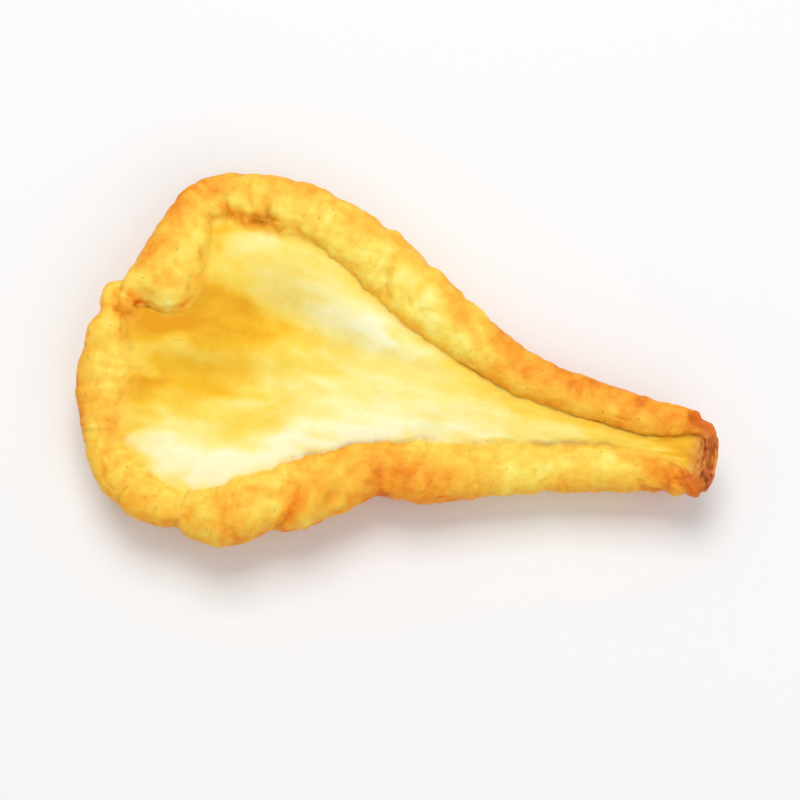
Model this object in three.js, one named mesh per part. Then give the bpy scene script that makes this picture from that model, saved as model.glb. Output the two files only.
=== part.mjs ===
import * as THREE from "three";

// A dried pear half lying cut face up, as one solid. Millimetres, +Z up, +X toward the stem end.
// The skin has curled up and over the cut face as a thick roll, round a sunken bed of flesh.

// The outer edge seen from above, with the width of the roll there, the height of its crest, and the
// step from the crest down to the flesh beside it.
const UPPER_EDGE = [
  { x: 37.3, y: 3.2, rim: 1.7, crest: 6.2, step: 0.5 }, // stem end
  { x: 35.1, y: 6.4, rim: 3.0, crest: 6.9, step: 0.8 },
  { x: 29.1, y: 7.1, rim: 4.6, crest: 7.3, step: 1.1 }, // neck
  { x: 22.7, y: 7.6, rim: 4.7, crest: 7.6, step: 1.4 },
  { x: 15.6, y: 8.6, rim: 5.3, crest: 7.9, step: 1.5 },
  { x: 9.3, y: 11.1, rim: 6.3, crest: 8.3, step: 1.5 },
  { x: 1.6, y: 15.5, rim: 7.8, crest: 8.9, step: 1.5 }, // shoulder
  { x: -6.3, y: 19.5, rim: 7.4, crest: 9.3, step: 1.4 },
  { x: -14.1, y: 21.9, rim: 6.6, crest: 9.4, step: 1.4 },
  { x: -20.5, y: 22.2, rim: 7.2, crest: 9.3, step: 1.4 }, // widest place
  { x: -27.0, y: 20.7, rim: 6.1, crest: 9.1, step: 1.5 },
  { x: -31.0, y: 17.4, rim: 5.3, crest: 9.2, step: 1.3 },
  { x: -32.4, y: 12.2, rim: 7.0, crest: 9.6, step: 1.3 }, // folded lobe
  { x: -33.7, y: 8.3, rim: 9.0, crest: 9.5, step: 1.2 },
  { x: -34.5, y: 6.5, rim: 7.6, crest: 9.1, step: 1.2 },
  { x: -35.7, y: 5.2, rim: 5.5, crest: 8.6, step: 1.1 }, // pucker beside the lobe
  { x: -36.7, y: 3.5, rim: 5.0, crest: 8.4, step: 0.9 },
  { x: -36.4, y: 0.6, rim: 4.0, crest: 8.4, step: 0.8 },
];
const LOWER_EDGE = [
  { x: -37.1, y: -2.8, rim: 5.3, crest: 8.5, step: 0.6 }, // blossom end
  { x: -36.8, y: -7.2, rim: 6.8, crest: 8.4, step: 0.5 },
  { x: -34.5, y: -13.1, rim: 5.1, crest: 8.2, step: 0.5 },
  { x: -30.9, y: -18.7, rim: 5.4, crest: 8.4, step: 0.7 },
  { x: -25.6, y: -21.7, rim: 5.2, crest: 8.4, step: 0.9 },
  { x: -21.1, y: -21.7, rim: 4.6, crest: 8.2, step: 1.0 }, // notch
  { x: -15.1, y: -22.2, rim: 6.9, crest: 9.0, step: 1.2 }, // bulge
  { x: -9.3, y: -19.2, rim: 7.4, crest: 8.9, step: 1.1 },
  { x: -3.4, y: -15.6, rim: 7.6, crest: 8.7, step: 1.0 },
  { x: 1.0, y: -12.1, rim: 6.3, crest: 8.4, step: 0.9 },
  { x: 6.0, y: -11.5, rim: 7.2, crest: 8.1, step: 0.8 },
  { x: 13.8, y: -8.4, rim: 5.9, crest: 7.6, step: 0.6 },
  { x: 22.8, y: -5.6, rim: 5.5, crest: 7.1, step: 0.5 }, // neck
  { x: 30.6, y: -3.6, rim: 4.5, crest: 6.8, step: 0.4 },
  { x: 36.8, y: -2.7, rim: 3.1, crest: 6.4, step: 0.4 },
];
const EDGE = [...UPPER_EDGE, ...LOWER_EDGE];

// The roll: its half height grows with its width up to a limit, and it starts low on the outside.
// A flatness under 1 squares its round section a little. It points inward across a chord of the edge.
const ROLL_HALF_HEIGHT = 3.0;
const ROLL_FULL_WIDTH = 6;
const ROLL_START = THREE.MathUtils.degToRad(-60);
const ROLL_FLATNESS = 0.85;
const HALF_CHORD = 3.0;
// The lip is kept between these heights over the roll's middle, in half heights of the roll.
const LOWEST_LIP = -0.8;
const HIGHEST_LIP = 0.9;

// The bed of flesh climbs from its level to the lip of the roll within a reach of it. It dips into a
// crease at the lip, deeper where the step is higher, and has its own ridges and hollows.
const FLESH_LEVEL = 5.5;
const BED_REACH = 5.5;
const CREASE_DEPTH = 0.2;
const CREASE_REACH = 0.8;
const FLESH_RELIEF = [
  { from: [-26, -11], to: [-20, -12.6], width: 4.2, rise: 0.5 }, // pale shelf along the lower roll
  { from: [-18, -12.2], to: [-11, -7.6], width: 3.4, rise: 0.4 },
  { from: [-10, -6.0], to: [4, -1.4], width: 2.8, rise: 0.6 },
  { from: [4, -1.2], to: [26, 1.4], width: 2.2, rise: 0.4 },
  { from: [-15, 11], to: [-7, 8.6], width: 2.6, rise: 0.5 }, // pale ridge along the upper roll
  { from: [-7, 8.0], to: [8, 3.8], width: 2.4, rise: 0.6 },
  { from: [-25, 13.4], to: [-17, 12.8], width: 2.4, rise: 0.3 },
  { from: [-9, -0.6], to: [10, 2], width: 1.8, rise: 0.5 }, // ridge down the middle
  { from: [-27.5, -0.8], to: [-14, 1.2], width: 2.2, rise: 0.4 }, // hump over the core
  { from: [-27, 5], to: [-13, 6], width: 3.0, rise: -1.1 }, // hollows each side of the hump
  { from: [-28, -4.6], to: [-15, -2], width: 2.4, rise: -0.9 },
  { from: [-7, 4.6], to: [13, 2.8], width: 1.0, rise: -0.25 }, // grooves running to the stem
  { from: [-14, 0.2], to: [-7, 1.2], width: 0.9, rise: -0.3 },
  { from: [-14, -4.2], to: [-2, -1.4], width: 1.2, rise: -0.35 },
];

// Lobes, folds and puckers of the roll, pushed out of or into it.
const ROLL_RELIEF = [
  { from: [-27.4, 18.4], to: [-25.6, 19.4], width: 2.4, rise: 0.2 },
  { from: [-22.8, 19.8], to: [-20.4, 20.0], width: 2.4, rise: 0.2 },
  { from: [-17.4, 20.2], to: [-14.6, 19.6], width: 2.4, rise: 0.2 },
  { from: [-10.4, 17.2], to: [-7.6, 15.8], width: 2.4, rise: 0.25 },
  { from: [-4.4, 15.2], to: [-1.8, 13.4], width: 2.4, rise: 0.25 },
  { from: [0.6, 12.0], to: [2.6, 10.4], width: 2.1, rise: 0.25 },
  { from: [4.6, 9.6], to: [7.0, 8.2], width: 2.0, rise: 0.2 },
  { from: [-12.9, 21.6], to: [-11.8, 16.5], width: 0.9, rise: -0.25 },
  { from: [-6.8, 19.6], to: [-5.4, 13.0], width: 0.9, rise: -0.25 },
  { from: [-0.4, 16.4], to: [-1.6, 10.6], width: 0.8, rise: -0.25 },
  { from: [4.8, 13.6], to: [2.6, 8.2], width: 0.8, rise: -0.2 },
  { from: [-31.6, 12.0], to: [-30.4, 8.0], width: 3.0, rise: 0.35 }, // folded lobe and its blunt end
  { from: [-30.2, 6.2], to: [-28.6, 5.6], width: 1.6, rise: 0.25 },
  { from: [-31.2, 4.4], to: [-29.0, 4.2], width: 0.8, rise: 0.3 },
  { from: [-35.2, 5.6], to: [-34.9, 3.4], width: 0.75, rise: -0.5 }, // crease under the lobe
  { from: [-34.0, 4.8], to: [-33.5, 2.2], width: 0.75, rise: 0.35 }, // pucker: a small curl round a dimple
  { from: [-35.2, -2.4], to: [-35.4, -4.0], width: 1.8, rise: 0.2 }, // bumps of the blossom end
  { from: [-33.6, -4.6], to: [-33.6, -6.4], width: 2.0, rise: 0.2 },
  { from: [-30.0, -5.0], to: [-29.4, -5.2], width: 1.3, rise: 0.5 },
  { from: [-32.8, -8.8], to: [-31.6, -10.4], width: 2.0, rise: 0.18 },
  { from: [-37.8, -4.4], to: [-33.5, -3.2], width: 0.8, rise: -0.25 },
  { from: [-29.6, -17.4], to: [-27.4, -18.4], width: 2.4, rise: 0.18 },
  { from: [-21.6, -23.4], to: [-19.8, -19.8], width: 0.9, rise: -0.35 }, // notch
  { from: [-17.4, -19.4], to: [-15.6, -18.6], width: 3.2, rise: 0.5 }, // bulge
  { from: [-11.6, -17.4], to: [-11.2, -16.8], width: 2.4, rise: 0.25 },
  { from: [-10.4, -20.4], to: [-8.9, -14.4], width: 1.1, rise: -0.55 }, // valley beside the bulge
  { from: [-8.6, -13.4], to: [-7.9, -10.6], width: 0.8, rise: -0.25 },
  { from: [-7.0, -16.6], to: [-5.4, -11.6], width: 1.6, rise: 0.45 }, // second bulge
  { from: [-4.6, -15.6], to: [-1.6, -9.6], width: 0.9, rise: -0.45 }, // folds that slant across the roll
  { from: [-2.8, -12.6], to: [0.4, -8.0], width: 0.9, rise: 0.3 },
  { from: [-1.6, -13.8], to: [1.6, -9.6], width: 0.8, rise: -0.3 },
  { from: [3.6, -12.4], to: [5.4, -6.0], width: 0.8, rise: -0.25 },
  { from: [7.0, -7.8], to: [10.4, -6.4], width: 2.0, rise: 0.2 },
  { from: [13.0, -5.6], to: [16.0, -4.4], width: 2.0, rise: 0.2 },
  { from: [18.1, -1.2], to: [19.4, -7.4], width: 0.75, rise: -0.35 },
  { from: [23.6, -2.8], to: [27.0, -2.0], width: 1.8, rise: 0.2 },
];

// The underside: a rounded skin, flat where it rests, with furrows that run toward the stem and start
// a share of the way in from the edge.
const UNDERSIDE_ROUNDING = 2.1;
const REST_CUT = 0.35;
const FURROW_START = 0.3;
const FURROWS = [
  { from: [-33, -9], to: [-10, -8], width: 1.3, rise: 0.9 },
  { from: [-29, -17], to: [-9, -13], width: 1.4, rise: 1.0 },
  { from: [-34, 5], to: [-18, 7], width: 1.3, rise: 0.9 },
  { from: [-28, 16], to: [-8, 12], width: 1.5, rise: 1.0 },
  { from: [-20, 19], to: [-4, 16], width: 1.2, rise: 0.7 },
  { from: [-6, 9.5], to: [16, 6.0], width: 1.3, rise: 0.8 },
  { from: [-5, -10.5], to: [14, -4.5], width: 1.3, rise: 0.8 },
  { from: [16, -3.4], to: [34, -0.4], width: 1.0, rise: 0.6 },
  { from: [18, 5.4], to: [34, 4.2], width: 1.0, rise: 0.6 },
];

// The whole half is bent a little, up at the stem and up at the blossom end.
const STEM_LIFT = { start: 8, end: 37.5, rise: 1.9 };
const BLOSSOM_LIFT = { start: -18, end: -37.5, rise: 0.8 };

// The line down the middle on which the two sides of the surface meet, above and below.
const SPINE_STEM = new THREE.Vector2(33.4, 2.3);
const SPINE_BLOSSOM = new THREE.Vector2(-26.5, -0.4);
const SPINE_CROWDING = 0.6;

// How finely the surface is divided, round the edge and across it.
const RING_STEPS = 152;
const UNDERSIDE_STEPS = 9;
const ROLL_STEPS = 15;
const FLESH_STEPS = 14;
const FLESH_CROWDING = 1.3;
const LENGTH_SAMPLES = 1200;
const TINY = 1e-9;

const SKIN_COLOUR = 0xf0b545;

const edgeCurve = closedCurve(EDGE.map((place) => new THREE.Vector3(place.x, place.y, 0)));
const sectionCurve = closedCurve(EDGE.map(({ rim, crest, step }) => new THREE.Vector3(rim, crest, step)));

function closedCurve(points) {
  return new THREE.CatmullRomCurve3(points, true, "catmullrom", 0.5);
}

// Curve parameters that part one side of the edge into equal lengths.
function evenParameters(start, end, steps) {
  const lengths = [0];
  let last = edgeCurve.getPoint(start);
  for (let sample = 1; sample <= LENGTH_SAMPLES; sample += 1) {
    const point = edgeCurve.getPoint(start + (end - start) * (sample / LENGTH_SAMPLES));
    lengths.push(lengths[sample - 1] + point.distanceTo(last));
    last = point;
  }
  const parameters = [];
  let sample = 0;
  for (let step = 0; step < steps; step += 1) {
    const wanted = (lengths[LENGTH_SAMPLES] * step) / steps;
    while (lengths[sample + 1] < wanted) {
      sample += 1;
    }
    const part = (wanted - lengths[sample]) / (lengths[sample + 1] - lengths[sample]);
    parameters.push(start + (end - start) * ((sample + part) / LENGTH_SAMPLES));
  }
  return parameters;
}

// Sum of soft ridges (rise above 0) and grooves (below 0), each along a line seen from above.
function relief(features, x, y) {
  let height = 0;
  for (const { from, to, width, rise } of features) {
    const alongX = to[0] - from[0];
    const alongY = to[1] - from[1];
    const lengthSquared = Math.max(alongX * alongX + alongY * alongY, TINY);
    const part = ((x - from[0]) * alongX + (y - from[1]) * alongY) / lengthSquared;
    const nearest = THREE.MathUtils.clamp(part, 0, 1);
    const offX = x - from[0] - nearest * alongX;
    const offY = y - from[1] - nearest * alongY;
    height += rise * Math.exp(-(offX * offX + offY * offY) / (width * width));
  }
  return height;
}

function lift(x, { start, end, rise }) {
  const part = THREE.MathUtils.clamp((x - start) / (end - start), 0, 1);
  return rise * part * part;
}

function bent(x, y, z) {
  return new THREE.Vector3(x, y, z + lift(x, STEM_LIFT) + lift(x, BLOSSOM_LIFT));
}

function power(value, exponent) {
  return Math.sign(value) * Math.abs(value) ** exponent;
}

// The roll at one parameter of the edge: its middle, inward direction, half sizes, end and lip.
function rollAt(parameter, outer, inward) {
  const { x: rim, y: crest, z: step } = sectionCurve.getPoint(parameter);
  const halfHeight = ROLL_HALF_HEIGHT * Math.tanh(rim / ROLL_FULL_WIDTH);
  const middleHeight = crest - halfHeight;
  const creaseHeight = 1 - (step * (1 + CREASE_DEPTH)) / halfHeight;
  const drop = THREE.MathUtils.clamp(creaseHeight, LOWEST_LIP, HIGHEST_LIP);
  const endAngle = Math.PI - Math.asin(power(drop, 1 / ROLL_FLATNESS));
  const pastMiddle = endAngle < Math.PI ? power(-Math.cos(endAngle), ROLL_FLATNESS) : 1;
  const halfWidth = rim / (1 + pastMiddle);
  const middle = new THREE.Vector2(outer.x, outer.y).addScaledVector(inward, halfWidth);
  return { middle, inward, halfWidth, halfHeight, middleHeight, endAngle, lipHeight: crest - step };
}

// The rolls all round, from the stem end up over the lobe and back below.
function ringOfRolls() {
  const half = RING_STEPS / 2;
  const blossom = UPPER_EDGE.length / EDGE.length;
  const parameters = [...evenParameters(0, blossom, half), ...evenParameters(blossom, 1, half)];
  const outer = parameters.map((parameter) => edgeCurve.getPoint(parameter));
  const reach = Math.round((HALF_CHORD * RING_STEPS) / edgeCurve.getLength());
  return parameters.map((parameter, sample) => {
    const ahead = outer[(sample + reach) % RING_STEPS];
    const behind = outer[(sample - reach + RING_STEPS) % RING_STEPS];
    const inward = new THREE.Vector2(behind.y - ahead.y, ahead.x - behind.x).normalize();
    return rollAt(parameter, outer[sample], inward);
  });
}

// A point of the roll: angle 0 is its outside, a quarter turn its crest.
function rollPoint(roll, angle) {
  const across = -roll.halfWidth * power(Math.cos(angle), ROLL_FLATNESS);
  const x = roll.middle.x + roll.inward.x * across;
  const y = roll.middle.y + roll.inward.y * across;
  const z = roll.middleHeight + roll.halfHeight * power(Math.sin(angle), ROLL_FLATNESS);
  const swell = relief(ROLL_RELIEF, x, y);
  const outX = -Math.cos(angle) * roll.inward.x;
  const outY = -Math.cos(angle) * roll.inward.y;
  return new THREE.Vector3(x + swell * outX, y + swell * outY, z + swell * Math.sin(angle));
}

// Each lip point stands for half the way to its two neighbours.
function lipOf(rolls) {
  const points = rolls.map((roll) => rollPoint(roll, roll.endAngle));
  return points.map((point, sample) => {
    const next = points[(sample + 1) % RING_STEPS];
    const last = points[(sample - 1 + RING_STEPS) % RING_STEPS];
    const share = (point.distanceTo(next) + point.distanceTo(last)) / 2;
    return { x: point.x, y: point.y, height: rolls[sample].lipHeight, share };
  });
}

function bedHeight(x, y, lip) {
  let total = TINY;
  let heights = 0;
  for (const place of lip) {
    const distance = Math.hypot(x - place.x, y - place.y) / BED_REACH;
    const weight = place.share * Math.exp(-distance * distance);
    total += weight;
    heights += weight * place.height;
  }
  const clear = Math.max(0, 1 - total / (Math.sqrt(Math.PI) * BED_REACH));
  const climb = (heights / total - FLESH_LEVEL) * (1 - clear * clear);
  return FLESH_LEVEL + climb + relief(FLESH_RELIEF, x, y);
}

function undersidePoint(start, spine, part) {
  const x = THREE.MathUtils.lerp(start.x, spine.x, part);
  const y = THREE.MathUtils.lerp(start.y, spine.y, part);
  const round = start.z * (1 - part) ** UNDERSIDE_ROUNDING;
  const clear = THREE.MathUtils.smoothstep(part, 0, FURROW_START);
  return new THREE.Vector3(x, y, Math.max(0, round + clear * (relief(FURROWS, x, y) - REST_CUT)));
}

function fleshPoint(crease, spine, part, lip) {
  const x = THREE.MathUtils.lerp(crease.x, spine.x, part);
  const y = THREE.MathUtils.lerp(crease.y, spine.y, part);
  const away = Math.hypot(x - crease.x, y - crease.y) / CREASE_REACH;
  const creaseFall = crease.z - bedHeight(crease.x, crease.y, lip);
  return new THREE.Vector3(x, y, bedHeight(x, y, lip) + creaseFall * Math.exp(-away));
}

// Where the spine is met from a ring sample, counted from 0 at the stem to 1 at the blossom end.
function spineAt(part) {
  const crowded = part - (SPINE_CROWDING * Math.sin(2 * Math.PI * part)) / (2 * Math.PI);
  return SPINE_STEM.clone().lerp(SPINE_BLOSSOM, crowded);
}

// One line of points across the surface, from the spine underneath round the roll to the spine on top.
function lineAcross(roll, spine, lip) {
  const start = rollPoint(roll, ROLL_START);
  const crease = rollPoint(roll, roll.endAngle);
  const line = [];
  for (let step = 1; step < UNDERSIDE_STEPS; step += 1) {
    line.push(undersidePoint(start, spine, 1 - step / UNDERSIDE_STEPS));
  }
  for (let step = 0; step <= ROLL_STEPS; step += 1) {
    line.push(rollPoint(roll, THREE.MathUtils.lerp(ROLL_START, roll.endAngle, step / ROLL_STEPS)));
  }
  for (let step = 1; step < FLESH_STEPS; step += 1) {
    line.push(fleshPoint(crease, spine, (step / FLESH_STEPS) ** FLESH_CROWDING, lip));
  }
  return line.map((point) => bent(point.x, point.y, point.z));
}

function pearGeometry() {
  const half = RING_STEPS / 2;
  const rolls = ringOfRolls();
  const lip = lipOf(rolls);
  const points = [];
  const lines = rolls.map((roll, sample) => {
    const part = sample <= half ? sample / half : (RING_STEPS - sample) / half;
    const first = points.length;
    points.push(...lineAcross(roll, spineAt(part), lip));
    return first;
  });
  const rows = points.length / RING_STEPS;

  const spineBelow = points.length;
  for (let sample = 0; sample <= half; sample += 1) {
    const spine = spineAt(sample / half);
    points.push(bent(spine.x, spine.y, 0));
  }
  const spineAbove = points.length;
  for (let sample = 0; sample <= half; sample += 1) {
    const spine = spineAt(sample / half);
    points.push(bent(spine.x, spine.y, bedHeight(spine.x, spine.y, lip)));
  }

  const corner = (sample, row) => {
    const turn = sample % RING_STEPS;
    const spineSample = turn <= half ? turn : RING_STEPS - turn;
    if (row < 0) {
      return spineBelow + spineSample;
    }
    return row < rows ? lines[turn] + row : spineAbove + spineSample;
  };
  const triangles = [];
  for (let sample = 0; sample < RING_STEPS; sample += 1) {
    for (let row = -1; row < rows; row += 1) {
      const near = corner(sample, row);
      const next = corner(sample + 1, row);
      const nextUp = corner(sample + 1, row + 1);
      const up = corner(sample, row + 1);
      triangles.push(near, next, nextUp, near, nextUp, up);
    }
  }

  const geometry = new THREE.BufferGeometry().setFromPoints(points);
  geometry.setIndex(triangles);
  geometry.computeBoundingBox();
  const { min, max } = geometry.boundingBox;
  geometry.translate(-(min.x + max.x) / 2, -(min.y + max.y) / 2, -min.z);
  geometry.computeVertexNormals();
  return geometry;
}

function pearHalf() {
  const skin = new THREE.MeshStandardMaterial({ color: SKIN_COLOUR, roughness: 0.5, metalness: 0 });
  const mesh = new THREE.Mesh(pearGeometry(), skin);
  mesh.name = "dried_pear_half";
  return mesh;
}

const driedPear = new THREE.Group();
driedPear.add(pearHalf());

export default driedPear;
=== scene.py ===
"""A dried pear half, cut face up, on a pale floor. Sizes are in millimetres unless marked as metres."""

import itertools
import math

import bpy
import numpy as np
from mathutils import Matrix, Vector


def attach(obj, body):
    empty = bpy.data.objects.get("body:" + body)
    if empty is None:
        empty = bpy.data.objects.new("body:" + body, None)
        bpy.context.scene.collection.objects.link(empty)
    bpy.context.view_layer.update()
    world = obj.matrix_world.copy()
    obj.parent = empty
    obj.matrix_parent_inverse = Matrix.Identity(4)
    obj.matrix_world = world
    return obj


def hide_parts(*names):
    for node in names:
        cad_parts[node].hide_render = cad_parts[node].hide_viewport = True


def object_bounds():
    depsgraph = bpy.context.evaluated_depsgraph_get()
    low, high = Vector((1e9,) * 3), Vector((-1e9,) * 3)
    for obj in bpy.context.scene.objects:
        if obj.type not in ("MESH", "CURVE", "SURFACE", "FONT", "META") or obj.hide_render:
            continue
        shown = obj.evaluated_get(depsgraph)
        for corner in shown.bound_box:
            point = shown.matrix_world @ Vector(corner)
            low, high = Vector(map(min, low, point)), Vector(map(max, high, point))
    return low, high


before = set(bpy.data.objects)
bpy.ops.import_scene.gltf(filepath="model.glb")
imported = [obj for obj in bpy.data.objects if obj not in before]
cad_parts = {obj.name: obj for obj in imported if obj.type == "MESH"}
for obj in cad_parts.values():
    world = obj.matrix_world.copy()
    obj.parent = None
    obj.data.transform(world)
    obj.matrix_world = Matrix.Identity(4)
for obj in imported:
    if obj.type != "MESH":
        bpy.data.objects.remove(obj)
CAD_BOX = [list(corner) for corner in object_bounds()]
MM = 0.001
# Both keep sums from being divided by 0.
TINY = 1e-9
LEAST_WEIGHT = 1e-30

# The outer edge seen from above: place, width of the rolled rim, height of its crest above the
# resting surface, and step from the crest down to the flesh beside it.
UPPER_EDGE = [
    (37.3, 3.2, 1.7, 6.2, 0.5),    # stem end
    (35.1, 6.4, 3.0, 6.9, 0.8),
    (29.1, 7.1, 4.6, 7.3, 1.1),    # neck
    (22.7, 7.6, 4.7, 7.6, 1.4),
    (15.6, 8.6, 5.3, 7.9, 1.5),
    (9.3, 11.1, 6.3, 8.3, 1.5),
    (1.6, 15.5, 7.8, 8.9, 1.5),    # shoulder
    (-6.3, 19.5, 7.4, 9.3, 1.4),
    (-14.1, 21.9, 6.6, 9.4, 1.4),
    (-20.5, 22.2, 7.2, 9.3, 1.4),  # widest place
    (-27.0, 20.7, 6.1, 9.1, 1.5),
    (-31.0, 17.4, 5.3, 9.2, 1.3),
    (-32.4, 12.2, 7.0, 9.6, 1.3),  # folded lobe
    (-33.7, 8.3, 9.0, 9.5, 1.2),
    (-34.5, 6.5, 7.6, 9.1, 1.2),
    (-35.7, 5.2, 5.5, 8.6, 1.1),   # pucker beside the lobe
    (-36.7, 3.5, 5.0, 8.4, 0.9),
    (-36.4, 0.6, 4.0, 8.4, 0.8),
]
LOWER_EDGE = [
    (-37.1, -2.8, 5.3, 8.5, 0.6),  # blossom end
    (-36.8, -7.2, 6.8, 8.4, 0.5),
    (-34.5, -13.1, 5.1, 8.2, 0.5),
    (-30.9, -18.7, 5.4, 8.4, 0.7),
    (-25.6, -21.7, 5.2, 8.4, 0.9),
    (-21.1, -21.7, 4.6, 8.2, 1.0),  # notch
    (-15.1, -22.2, 6.9, 9.0, 1.2),  # bulge
    (-9.3, -19.2, 7.4, 8.9, 1.1),
    (-3.4, -15.6, 7.6, 8.7, 1.0),
    (1.0, -12.1, 6.3, 8.4, 0.9),
    (6.0, -11.5, 7.2, 8.1, 0.8),
    (13.8, -8.4, 5.9, 7.6, 0.6),
    (22.8, -5.6, 5.5, 7.1, 0.5),    # neck
    (30.6, -3.6, 4.5, 6.8, 0.4),
    (36.8, -2.7, 3.1, 6.4, 0.4),
]
EDGE = np.array(UPPER_EDGE + LOWER_EDGE)
# Where the blossom end lies on the closed edge, which runs from 0 to 1.
BLOSSOM = len(UPPER_EDGE) / len(EDGE)

# The roll: its half height grows with its width up to a limit, and it starts low on the outside.
# A flatness under 1 squares its round section a little. It points inward across a chord of the edge.
ROLL_HALF_HEIGHT = 3.0
ROLL_FULL_WIDTH = 6
ROLL_START = math.radians(-60)
ROLL_FLATNESS = 0.85
HALF_CHORD = 3.0
# The lip is kept between these heights over the roll's middle, in half heights of the roll.
LOWEST_LIP = -0.8
HIGHEST_LIP = 0.9
# The roll is uneven along the edge: height, length and seed of each wave. For the rim the height is
# a share of its width.
EDGE_WAVES = [(0.22, 2.6, 31), (0.08, 1.1, 32)]
RIM_WAVES = [(0.07, 3.4, 33), (0.045, 1.2, 34)]
CREST_WAVES = [(0.15, 4.2, 35)]

# The bed of flesh climbs from its level to the lip of the roll within a reach of it. It dips into a
# crease at the lip, deeper where the step is higher.
FLESH_LEVEL = 5.5
BED_REACH = 5.5
CREASE_DEPTH = 0.2
CREASE_REACH = 0.8
# Beside the lip the flesh follows the lip's height and its unevenness, each blended over this much of
# the lip. The unevenness fades out within its own reach of the lip.
HEIGHT_BLEND = 0.9
SHIFT_BLEND = 0.4
SHIFT_REACH = 0.9
# Soft ridges and hollows of the flesh: start, end, width and rise.
FLESH_RELIEF = [
    ((-26, -11), (-20, -12.6), 4.2, 0.5),   # pale shelf along the lower roll
    ((-18, -12.2), (-11, -7.6), 3.4, 0.4),
    ((-10, -6), (4, -1.4), 2.8, 0.6),
    ((4, -1.2), (26, 1.4), 2.2, 0.4),
    ((-15, 11), (-7, 8.6), 2.6, 0.5),       # pale ridge along the upper roll
    ((-7, 8), (8, 3.8), 2.4, 0.6),
    ((-25, 13.4), (-17, 12.8), 2.4, 0.3),
    ((-9, -0.6), (10, 2), 1.8, 0.5),        # ridge down the middle
    ((-27.5, -0.8), (-14, 1.2), 2.2, 0.4),  # hump over the core
    ((-27, 5), (-13, 6), 3, -1.1),          # hollows each side of the hump
    ((-28, -4.6), (-15, -2), 2.4, -0.9),
    ((-7, 4.6), (13, 2.8), 1, -0.25),       # grooves running to the stem
    ((-14, 0.2), (-7, 1.2), 0.9, -0.3),
    ((-14, -4.2), (-2, -1.4), 1.2, -0.35),
]
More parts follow.
